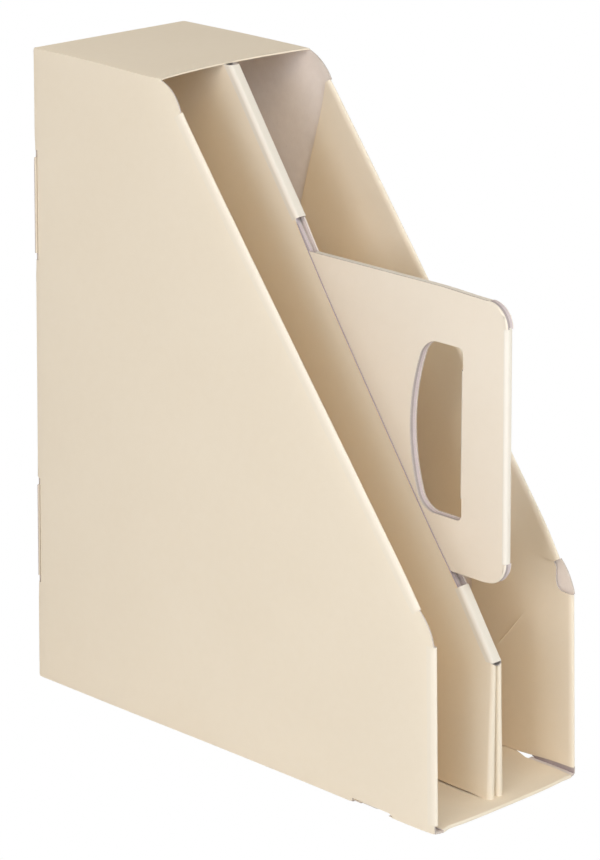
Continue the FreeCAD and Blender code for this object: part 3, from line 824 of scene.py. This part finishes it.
def frontLining(side, node):
    notch = frontPlane + lining["notchDepth"]
    turn = lining["notchRadius"]
    top = shell["hemTop"]
    seam = lining["seam"] - lining["seamGap"]
    joint = notch - turn
    after = joint - frontPlane - hemInset
    fall = (lining["stepLift"] - liningLift) / lining["stepDepth"]
    jointLift = liningLift + fall * after
    rear = frontPlane + lining["depth"]
    corners = [
        (joint, jointLift), (frontPlane + lining["stepDepth"], lining["stepLift"]),
        (frontPlane + lining["footDepth"], lining["footLift"]), (rear, lining["footLift"]), (rear, seam),
        (notch + lining["notchFlare"], seam), (notch, seam - lining["notchFlare"]),
        (notch, top + turn, (notch - arcInset(turn), top + arcInset(turn))), (joint, top),
    ]
    cuts = bandLines((joint, 0), (1, 0), jointBands)
    scarLow, scarHigh = Vector(lining["scarLow"]), Vector(lining["scarHigh"])
    scarLength = (scarHigh - scarLow).length
    scarRun = (scarHigh - scarLow) / scarLength
    scarAcross = Vector((-scarRun.y, scarRun.x))
    if side > 0:
        wide = lining["scarWidth"]
        cuts += bandLines(scarLow, scarAcross, (-wide, 0, wide)) + bandLines(scarLow, scarRun, (0, scarLength))
    flat = cutSheet([drawn(corners)], "x", side * liningLevel, -side, cuts=cuts,
                    plain=[((joint, top), (joint, jointLift))])
    for vertex in flat.verts:
        beyond = vertex.co.y - frontPlane - hemInset
        vertex.co.x += side * liningRelax * rising(beyond, 0, lining["relaxLength"])
    bend = sideFold(
        side, halfWidth, (frontPlane + hemInset, liningLift), **hemSizes,
        Length=top - liningLift, After=after, Low_Skew=fall, Relax_Length=after,
        Relax=liningRelax * rising(after, 0, lining["relaxLength"]), Rows=20, Seed=7 + side,
    )

    def shape(point):  # a faint scratch stands up from the right lining
        moved = settleShell(point)
        away = abs((point.yz - scarLow).dot(scarAcross)) / lining["scarWidth"]
        if side > 0 and -tiny < (point.yz - scarLow).dot(scarRun) < scarLength + tiny:
            moved.x -= lining["scarLift"] * max(0, 1 - away)
        return moved

    finishPiece(node, flat, bend, shape=shape, bay=liningPaintedShade)


for side, word in sides:
    slopeLining(side, f"{word}_slope_lining")
    frontLining(side, f"{word}_front_lining")
print("linings ready")


# Lid, back and base

lid = {"edgeBow": 5.5 * mm, "edgeSteps": 24, "sag": 0.5 * mm, "sagReach": 50 * mm}


def makeLid():
    steps = lid["edgeSteps"]
    outline = drawn([
        (-halfWidth, lidEdge, (0, lidEdge + lid["edgeBow"])), (halfWidth, lidEdge),
        (halfWidth, rearFace), (-halfWidth, rearFace),
    ], steps)
    folds = [((across, lidEdge), (across, rearFace)) for across in (-halfWidth, halfWidth)]
    folds += [((-halfWidth, rearFace), (halfWidth, rearFace)), *zip(outline[:steps], outline[1:steps + 1])]
    cuts = edgeCuts(-halfWidth, halfWidth, lidEdge, rearFace)
    sheet = cutSheet([outline], "z", topLevel, 1, folds=folds, cuts=cuts)

    def shape(point):  # the middle of the free edge hangs a little
        forward = max(0, 1 - (point.y - lidEdge) / lid["sagReach"]) ** 2
        across = math.cos(math.pi / 2 * min(1, abs(point.x) / halfWidth))
        return settleShell(point) - Vector((0, 0, lid["sag"] * forward * across))

    finishPiece("top_panel", sheet, name="lid", shape=shape)


def makeBack():
    low, high = (corner[2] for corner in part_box("back_panel"))
    right = notchedEdge(halfWidth, thick)
    corners = [(halfWidth, low), *right, (halfWidth, high), (-halfWidth, high), *mirrored(right), (-halfWidth, low)]
    folds = [((across, low), (across, high)) for across in (-halfWidth, halfWidth)]
    plain = [((-halfWidth, level), (halfWidth, level)) for level in (low, high)]
    cuts = edgeCuts(-halfWidth, halfWidth, low, high)
    sheet = cutSheet([corners], "y", rearFace, 1, folds=folds, plain=plain, cuts=cuts)
    finishPiece("back_panel", sheet, name="back")


floorFront = {
    "bulge": 3 * mm,
    "curveSteps": 16,
    "hemRadius": 0.9 * mm,
    "waviness": 0.1 * mm,
    "frontGap": 2.7 * mm,
    "sideOverlap": 0.7 * mm,
    "flareLength": 8.5 * mm,
    "tabLength": 5.2 * mm,
    "tabGap": 0.3 * mm,
    "paintedShadeReach": 60 * mm,
}


def floorEdge(across):
    return frontPlane - floorFront["bulge"] * (1 - (across / halfWidth) ** 4) + floorFront["hemRadius"]


def frontCurve(half):
    steps = floorFront["curveSteps"]
    return [(half * step / steps, floorEdge(half * step / steps)) for step in range(1 - steps, steps)]


def makeBase():
    edge = floorEdge(halfWidth)
    notch = halfWidth - floorSlot["notch"]
    notchFront = slotFront + floorSlot["taper"]
    right = [(halfWidth, edge), (halfWidth, notchFront), (notch, notchFront), (notch, slotRear),
             (halfWidth, slotRear), (halfWidth, rearFace)]
    folds = [((-halfWidth, rearFace), (halfWidth, rearFace))]
    for across in (-halfWidth, halfWidth):
        folds += [((across, edge), (across, notchFront)), ((across, slotRear), (across, rearFace))]
    cuts = edgeCuts(-halfWidth, halfWidth, edge, rearFace)
    corners = right + mirrored(right) + frontCurve(halfWidth)
    sheet = cutSheet([corners], "z", 0, -1, folds=folds, cuts=cuts)
    finishPiece("bottom_panel", sheet, name="base")


def makeFloorLiner():
    inside = liningBox[0][0]
    narrow, half = inside - floorFront["frontGap"], inside + floorFront["sideOverlap"]
    flare = slotFront + floorSlot["taper"]
    tabRear = slotRear - floorFront["tabGap"]
    tabFront = tabRear - floorFront["tabLength"]
    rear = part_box("floor_liner")[1][1]
    front = floorEdge(narrow)
    right = [(narrow, front), (narrow, flare), (half, flare + floorFront["flareLength"]), (half, tabFront),
             (halfWidth, tabFront), (halfWidth, tabRear), (half, tabRear), (half, rear)]
    radius = floorFront["hemRadius"]
    flat = cutSheet([right + mirrored(right) + frontCurve(narrow)], "z", 2 * radius, 1)
    bend = foldSheet(
        Origin=Vector((-narrow, front, 0)), Toward=Vector((0, -1, 0)), Inward=Vector((0, 0, 1)),
        Along=Vector((1, 0, 0)), Length=2 * narrow, Before=2 * tiny, Radius=radius, After=2 * tiny,
        Bow=front - floorEdge(0), Rows=33, Waviness=floorFront["waviness"],
    )

    # painted shade: the floor liner's colour deepens towards the rear
    def bay(point):
        return rising(point.y - front, 0, floorFront["paintedShadeReach"])

    finishPiece("floor_liner", flat, bend, bay=bay)


makeLid()
makeBack()
makeBase()
makeFloorLiner()
print("lid, back and base ready")


# Tuck flaps

tuckTaper = 3 * mm
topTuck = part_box("top_tuck_flap")
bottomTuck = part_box("bottom_tuck_flap")


def tuckFlap(node, fold, edge):
    lows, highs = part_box(node)
    half = highs[0]
    corners = [(-half, fold), (half, fold), (half - tuckTaper, edge), (-half + tuckTaper, edge)]
    finishPiece(node, cutSheet([corners], "y", lows[1], -1))


tuckFlap("top_tuck_flap", topTuck[1][2], topTuck[0][2])
tuckFlap("bottom_tuck_flap", bottomTuck[0][2], bottomTuck[1][2])


# Divider

divider = {
    "setback": 5.5 * mm,
    "frontHeight": 68 * mm,
    "skinLift": 0.7 * mm,
    "footLength": 11 * mm,
    "topDepth": 86 * mm,
    "levelSpacing": 4 * mm,
    "levels": 23,
    "hemTop": 67.6 * mm,
    "hemMitre": 2.6 * mm,
    "hemDepth": 12 * mm,
    "hemRadius": 1.42 * mm,
    "hemStretch": 1.5,
    "hemRelax": 0.4 * mm,
    "hemRelaxLength": 8 * mm,
    "waviness": 0.12 * mm,
    "slotBottom": 99.5 * mm,
    "slotTop": 252 * mm,
    "slotInset": 1.9 * mm,
    "slotBow": 1.5 * mm,
    "slotSteps": 24,
    "creaseRadius": 1.6 * mm,
    "creaseStretch": 1.4,
    "creaseFlat": 1.6 * mm,
    "ridgeOverrun": 3 * mm,
    "slotRim": 0.15 * mm,
    "rawPaintedShadeReach": 10 * mm,
    "paintedShadeReach": 35 * mm,
    "lean": (-1.2 * mm, 1.0 * mm),
    "leanReach": 40 * mm,
    "footSplay": {-1: 2.1 * mm, 1: 1.3 * mm},
    "footSplayReach": 90 * mm,
    "pillow": 0.8 * mm,
    "pillowRise": 18 * mm,
    "pillowFall": 90 * mm,
    "pillowEnd": (60 * mm, 120 * mm),
}
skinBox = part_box("divider_right_skin")
dividerHalf = skinBox[1][0]
dividerFloor, ridgeTop = skinBox[0][2], skinBox[1][2]
dividerFront = frontPlane + divider["setback"]
ridge = Slope((dividerFront, divider["frontHeight"]), (rearFace - divider["topDepth"], ridgeTop))
ridgeInset = divider["creaseRadius"] * divider["creaseStretch"]
slotStart = ridge.alongAt(divider["slotBottom"])
slotEnd = ridge.alongAt(divider["slotTop"])


def settleDivider(point):
    moved = settleShell(point)
    side = 1 if point.x > 0 else -1
    inside = max(0, min(ridge.distance(point), point.y - dividerFront))
    swell = rising(inside, 0, divider["pillowRise"]) * falling(inside, 0, divider["pillowFall"])
    swell *= falling(point.y, *divider["pillowEnd"])
    foot = falling(point.z, 0, divider["frontHeight"])
    foot *= falling(point.y - dividerFront, 0, divider["footSplayReach"])
    outward = divider["pillow"] * swell + divider["footSplay"][side] * foot
    moved.x += side * min(1, abs(point.x) / dividerHalf) * outward
    lean = between(*divider["lean"], min(1, point.z / divider["frontHeight"]))
    lean *= falling(point.z - divider["frontHeight"], 0, divider["leanReach"])
    moved.y += lean * falling(inside, 0, divider["leanReach"])
    return moved


def finishDivider(node, *sheets, **more):
    finishPiece(node, *sheets, slot="divider_board", shape=settleDivider, **more)


# The slot is cut a little into the skins, most of all at its middle.
def slotInset(along):
    share = (along - slotStart) / (slotEnd - slotStart) * 2 - 1
    return divider["slotInset"] + divider["slotBow"] * (1 - share ** 4)


# painted shadow along the left skin's slot edge, painted shade growing away from the ridge on the skins' inner
# faces, and deeper into the bays on their outer faces
def skinPaintedShade(point):
    inside = ridge.distance(point)
    along = (point.yz - ridge.low).dot(ridge.along)
    if point.x < 0 and slotStart < along < slotEnd and abs(inside - slotInset(along)) < divider["slotRim"]:
        return 1
    if abs(point.x) < dividerHalf - thick / 2:
        return rising(inside, 0, divider["rawPaintedShadeReach"])
    return rising(min(inside, point.y - dividerFront), 0, divider["paintedShadeReach"])


def dividerSkin(side, node):
    inset = ridgeInset + divider["creaseFlat"]
    rear, lifted = skinBox[1][1], dividerFloor + divider["skinLift"]
    front = dividerFront + divider["hemRadius"] * divider["hemStretch"] + shell["bendFlat"]
    steps = divider["slotSteps"]
    slot = [between(slotEnd, slotStart, step / steps) for step in range(steps + 1)]
    corners = [
        (front, dividerFloor), (dividerFront + divider["footLength"], lifted), (rear, lifted), (rear, ridgeTop),
        ridge.atHeight(ridgeTop, inset), ridge.point(slotEnd, inset),
        *[ridge.point(along, slotInset(along)) for along in slot],
        ridge.point(slotStart, inset), ridge.atHeight(divider["hemTop"], inset), (front, divider["hemTop"]),
    ]
    plain = [(corners[4], corners[5]), (corners[-3], corners[-2]), (corners[-2], corners[-1]),
             (corners[-1], corners[0]), (corners[2], corners[3])]
    levels = [step * divider["levelSpacing"] for step in range(1, divider["levels"] + 1)]
    cuts = hemCuts(ridge, dividerFront) + bandLines((0, 0), (0, 1), levels)
    sheet = cutSheet([corners], "x", side * dividerHalf, side, plain=plain, cuts=cuts, kinds=(0, 1, 1))
    finishDivider(node, sheet, bay=skinPaintedShade)


def ridgePart(node, start, end, rows):
    sheets = [sideFold(
        side, dividerHalf, ridge.point(start, ridgeInset), -ridge.inward, ridge.along, Length=end - start,
        Before=divider["creaseFlat"], Radius=divider["creaseRadius"], Stretch=divider["creaseStretch"],
        Angle=math.pi / 2, After=dividerHalf - divider["creaseRadius"], Rows=rows,
    ) for side, word in sides]
    for sheet in sheets:  # both ends are cut level
        for vertex in sheet.verts:
            level = max(divider["hemTop"], min(ridgeTop, vertex.co.z))
            vertex.co.y += (level - vertex.co.z) * ridge.along.x / ridge.along.y
            vertex.co.z = level
    finishDivider(node, *sheets)


def dividerFrontHem(side, node):
    radius, stretch = divider["hemRadius"], divider["hemStretch"]
    sheet = sideFold(
        side, dividerHalf, (dividerFront + radius * stretch, dividerFloor),
        Length=divider["hemTop"] - dividerFloor, Radius=radius, Stretch=stretch, After=divider["hemDepth"],
        Relax=divider["hemRelax"], Relax_Length=divider["hemRelaxLength"], Rows=40,
        Waviness=divider["waviness"], Seed=11 + side,
    )
    mitre = divider["hemMitre"]
    for vertex in sheet.verts:  # the two hems' top corners slant down to each other
        near = max(0, 1 - (divider["hemTop"] - vertex.co.z) / (2 * mitre))
        vertex.co.z -= mitre * near * (1 - abs(vertex.co.x) / dividerHalf)
    finishDivider(node, sheet)


def rearFlange(side, node):
    lows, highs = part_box(node)
    inner, outer = sorted((abs(lows[0]), abs(highs[0])))
    edge = topTuck[1][0]
    half = tabs["length"] / 2
    corners = [(inner, lows[2]), (edge, lows[2])]
    for height in tabs["heights"]:
        corners += [(edge, height - half), (outer, height - half + tabs["ease"]),
                    (outer, height + half - tabs["ease"]), (edge, height + half)]
    corners += [(edge, highs[2]), (inner, highs[2])]
    sheet = cutSheet([[(side * across, up) for across, up in corners]], "y", lows[1], -1)
    finishDivider(node, sheet)


for side, word in sides:
    dividerSkin(side, f"divider_{word}_skin")
    dividerFrontHem(side, f"divider_{word}_front_hem")
    rearFlange(side, f"divider_{word}_rear_flange")
ridgePart("divider_upper_ridge", slotEnd, ridge.length + divider["ridgeOverrun"], 20)
ridgePart("divider_lower_ridge", 0, slotStart, 12)
print("divider ready")


# Handle

handle = {
    "corner": 11.2 * mm,
    "shoulder": 4.5 * mm,
    "gripWidth": 28 * mm,
    "holeDepth": 31 * mm,
    "holeLowMargin": 25 * mm,
    "holeHighMargin": 26 * mm,
    "holeCornerDepth": 10 * mm,
    "holeCornerRise": 9 * mm,
    "holeCornerBow": 2 * mm,
    "holeSideBow": 5.2 * mm,
    "holeFrontCorner": 3 * mm,
    "arcSteps": 14,
    "stripGap": 0.2 * mm,
    "noseRadius": 1.9 * mm,
    "stripRadius": 1.3 * mm,
    "stripAngle": math.radians(100),
    "flapRadius": 1.5 * mm,
    "flapGap": 0.1 * mm,
    "backingNoseInset": 0.77 * mm,
    "backingHoleGrow": 0.25 * mm,
    "backingGap": 0.04 * mm,
    "plyGap": 0.02 * mm,
    "lean": 0.028,
    "uprightHeight": 152 * mm,
    "leanReach": 68 * mm,
    "leanFade": 14 * mm,
    "droop": 1.1 * mm,
    "droopReach": 45 * mm,
    "droopHeight": (-24 * mm, -4 * mm),
}
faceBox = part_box("handle_right_face")
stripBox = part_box("handle_top_strip")
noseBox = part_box("handle_front_strip")
faceInside, handleHalf = faceBox[0][0], faceBox[1][0]
handleFront, handleHigh = noseBox[0][1], stripBox[1][2]
handleLow = noseBox[0][2] - handle["corner"]
anchorLow, anchorHigh, anchorRear = faceBox[0][2], faceBox[1][2], faceBox[1][1]
holeFront = handleFront + handle["gripWidth"]
holeLow = handleLow + handle["holeLowMargin"]
holeHigh = handleHigh - handle["holeHighMargin"]


def settleHandle(point):  # its front edge leans a little and its top front corner drops
    near = falling(point.y - handleFront, 0, handle["leanReach"])
    near *= rising(-ridge.distance(point), 0, handle["leanFade"])
    ahead = falling(point.y - handleFront, handle["corner"], handle["droopReach"])
    droop = handle["droop"] * ahead * rising(point.z - handleHigh, *handle["droopHeight"])
    return point + Vector((0, handle["lean"] * (point.z - handle["uprightHeight"]) * near, -droop))


def finishHandle(node, *sheets, slot="handle_board", finishes=(handleCoat, reverse, cutEdge)):
    finishPiece(node, *sheets, body="handle", slot=slot, shape=settleHandle, finishes=finishes)


def handleOutline(topInset, frontInset):
    corner, cut = handle["corner"], arcInset(handle["corner"])
    low, high = handleLow + corner, handleHigh - corner
    lowRoot, highRoot, anchorLowRoot, anchorHighRoot = (
        ridge.atHeight(height, handle["shoulder"]) for height in (handleLow, handleHigh, anchorLow, anchorHigh))
    corners = [anchorLowRoot, (anchorRear, anchorLow), (anchorRear, anchorHigh), anchorHighRoot, highRoot]
    if topInset:
        level = handleHigh - topInset
        corners += [(highRoot[0], level), (handleFront + corner, level)]
    corners += [
        (handleFront + corner, handleHigh, (handleFront + cut, handleHigh - cut)),
        (handleFront, high), (handleFront + frontInset, high), (handleFront + frontInset, low),
        (handleFront, low, (handleFront + cut, handleLow + cut)),
        (handleFront + corner, handleLow), lowRoot,
    ]
    return drawn(corners, handle["arcSteps"])


def holeOutline(grow=0):
    straight = holeFront - handle["flapRadius"]
    turn, cut = handle["holeFrontCorner"], arcInset(handle["holeFrontCorner"])
    rise, bow = handle["holeCornerRise"], handle["holeCornerBow"]
    deep = holeFront + handle["holeDepth"] - handle["holeSideBow"] + grow
    start = deep - handle["holeCornerDepth"]
    low, high = holeLow - grow, holeHigh + grow
    return drawn([
        (straight, low + turn, (straight + cut, low + cut)),
        (straight + turn, low),
        (start, low, bowed((start, low), (deep, low + rise), -bow)),
        (deep, low + rise, (deep + handle["holeSideBow"], (low + high) / 2)),
        (deep, high - rise, bowed((deep, high - rise), (start, high), -bow)),
        (start, high),
        (straight + turn, high, (straight + cut, high - cut)),
        (straight, high - turn),
    ], handle["arcSteps"])


def onFrontArc(a, b):  # whether an outline edge is part of the arcs at the two front corners
    return (
        max(a[0], b[0]) < handleFront + handle["corner"] + tiny
        and (min(a[1], b[1]) > handleHigh - handle["corner"] - tiny
             or max(a[1], b[1]) < handleLow + handle["corner"] + tiny)
        and min(abs(a[0] - b[0]), abs(a[1] - b[1])) > tiny
    )


def handleFace(side, node):
    outline = handleOutline(handle["stripRadius"] if side > 0 else 0, handle["noseRadius"])
    arcs = [(a, b) for a, b in zip(outline, outline[1:]) if onFrontArc(a, b)]
    sheet = cutSheet([outline, holeOutline()], "x", side * handleHalf, side,
                     thickness=handleHalf - faceInside, folds=arcs)
    finishHandle(node, sheet)


def handleBacking(side, node):
    loops = [handleOutline(thick, handle["backingNoseInset"]), holeOutline(handle["backingHoleGrow"])]
    outer = faceInside - handle["backingGap"]
    sheet = cutSheet(loops, "x", side * outer, side, thickness=outer - handle["plyGap"])
    finishHandle(node, sheet, slot="handle_core", finishes=(reverse, reverse, core))


def topStrip():
    radius, reach = handle["stripRadius"], handleHalf + faceInside - handle["stripGap"]
    start = handleFront + handle["corner"]
    sheet = sideFold(
        1, handleHalf, (start, handleHigh - radius), (0, 1), (1, 0), Length=stripBox[1][1] - start, Before=tiny,
        Radius=radius, Angle=handle["stripAngle"], After=reach - radius, Rows=20,
    )
    finishHandle("handle_top_strip", sheet)


def frontStrip():
    radius = handle["noseRadius"]
    low, high = noseBox[0][2], noseBox[1][2]
    sheets = [sideFold(
        side, handleHalf, (handleFront + radius, low), Length=high - low, Before=tiny,
        Radius=radius, Angle=math.pi / 2, After=handleHalf - radius, Rows=20,
    ) for side, word in sides]
    finishHandle("handle_front_strip", *sheets)


def gripFlap(side, node):
    low, high = (corner[2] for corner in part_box(node))
    radius = handle["flapRadius"]
    sheet = sideFold(
        side, handleHalf, (holeFront - radius, low), (1, 0), Length=high - low, Before=tiny,
        Radius=radius, Angle=math.pi / 2, After=handleHalf - radius - handle["flapGap"], Rows=20,
    )
    finishHandle(node, sheet)


for side, word in sides:
    handleFace(side, f"handle_{word}_face")
    handleBacking(side, f"handle_{word}_backing")
topStrip()
frontStrip()
for side, word in sides:
    gripFlap(side, f"handle_{word}_grip_flap")
print("handle ready")


# Stage, lights and camera

stage = {"size": 6, "ground": (0.86, 0.85, 0.83)}


def makeStage():
    mesh = bpy.data.meshes.new("floor")
    half = stage["size"] / 2
    mesh.from_pydata([(-half, -half, 0), (half, -half, 0), (half, half, 0), (-half, half, 0)], [], [(0, 1, 2, 3)])
    floor = bpy.data.objects.new("floor", mesh)
    scene.collection.objects.link(floor)
    finish = bpy.data.materials.new("paleFloor")
    finish.use_nodes = True
    nodes = Nodes(finish.node_tree)
    matt = nodes.node("ShaderNodeBsdfDiffuse", None, {"Color": (*stage["ground"], 1)})
    white = nodes.node("ShaderNodeEmission", None, {"Color": (1, 1, 1, 1), "Strength": 1})
    mixed = nodes.node("ShaderNodeMixShader", None, [nodes.seenRays(), matt, white])
    nodes.node("ShaderNodeOutputMaterial", None, {"Surface": mixed})
    mesh.materials.append(finish)


lights = {
    "world": 0.12,
    "aim": (0, 0, 160 * mm),
    "softboxes": {  # azimuth and height in degrees, distance, size, power, colour
        "key": (-56, 46, 1.6, 0.8, 6.4, (1.0, 0.89, 0.70)),
        "side": (-76, 14, 1.6, 0.8, 8.7, (0.90, 0.93, 1.0)),
        "front": (-20, 25, 1.2, 0.9, 7.8, (0.78, 0.88, 1.0)),
        "right": (40, 15, 1.6, 0.8, 4.2, (1.0, 0.92, 0.72)),
        "rear": (165, 35, 1.6, 1.0, 5.6, (1.0, 0.86, 0.64)),
        "rearRight": (100, 12, 1.6, 1.0, 4.0, (1.0, 0.98, 0.94)),
    },
}


def backFrom(azimuth, height):  # toward the place that looks on from there
    azimuth, height = math.radians(azimuth), math.radians(height)
    level = math.cos(height)
    return Vector((math.sin(azimuth) * level, -math.cos(azimuth) * level, math.sin(height)))


def makeWorld():
    world = bpy.data.worlds.new("studio")
    scene.world = world
    world.use_nodes = True
    nodes = Nodes(world.node_tree)
    fill, white = (nodes.node("ShaderNodeBackground", None, {"Color": (1, 1, 1, 1), "Strength": strength})
                   for strength in (lights["world"], 1))
    mixed = nodes.node("ShaderNodeMixShader", None, [nodes.seenRays(), fill, white])
    nodes.node("ShaderNodeOutputWorld", None, {"Surface": mixed})


def makeLights():
    for name, (azimuth, height, distance, size, power, colour) in lights["softboxes"].items():
        back = backFrom(azimuth, height)
        lamp = bpy.data.lights.new(name, "AREA")
        lamp.size = size
        lamp.energy = power
        lamp.color = colour
        holder = bpy.data.objects.new(name, lamp)
        holder.location = Vector(lights["aim"]) + back * distance
        holder.rotation_euler = back.to_track_quat("Z", "Y").to_euler()
        scene.collection.objects.link(holder)


view = {
    "spot": (-1142.9 * mm, -1124.2 * mm, 659.5 * mm),
    "azimuth": -45.40,
    "height": 17.66,
    "roll": 0.012,
    "lens": 149.9,
    "sensor": 36,
}


def makeCamera():
    back = backFrom(view["azimuth"], view["height"])
    level = Vector((-back.y, back.x, 0)).normalized()
    up = level.cross(-back)
    turned = level * math.cos(view["roll"]) + up * math.sin(view["roll"])
    risen = up * math.cos(view["roll"]) - level * math.sin(view["roll"])
    lens = bpy.data.cameras.new("camera")
    lens.lens = view["lens"]
    lens.sensor_fit = "VERTICAL"
    lens.sensor_height = view["sensor"]
    holder = bpy.data.objects.new("camera", lens)
    holder.matrix_world = Matrix.Translation(view["spot"]) @ Matrix((turned, risen, back)).transposed().to_4x4()
    scene.collection.objects.link(holder)
    scene.camera = holder


makeStage()
makeWorld()
makeLights()
makeCamera()
print("stage, lights and camera ready")
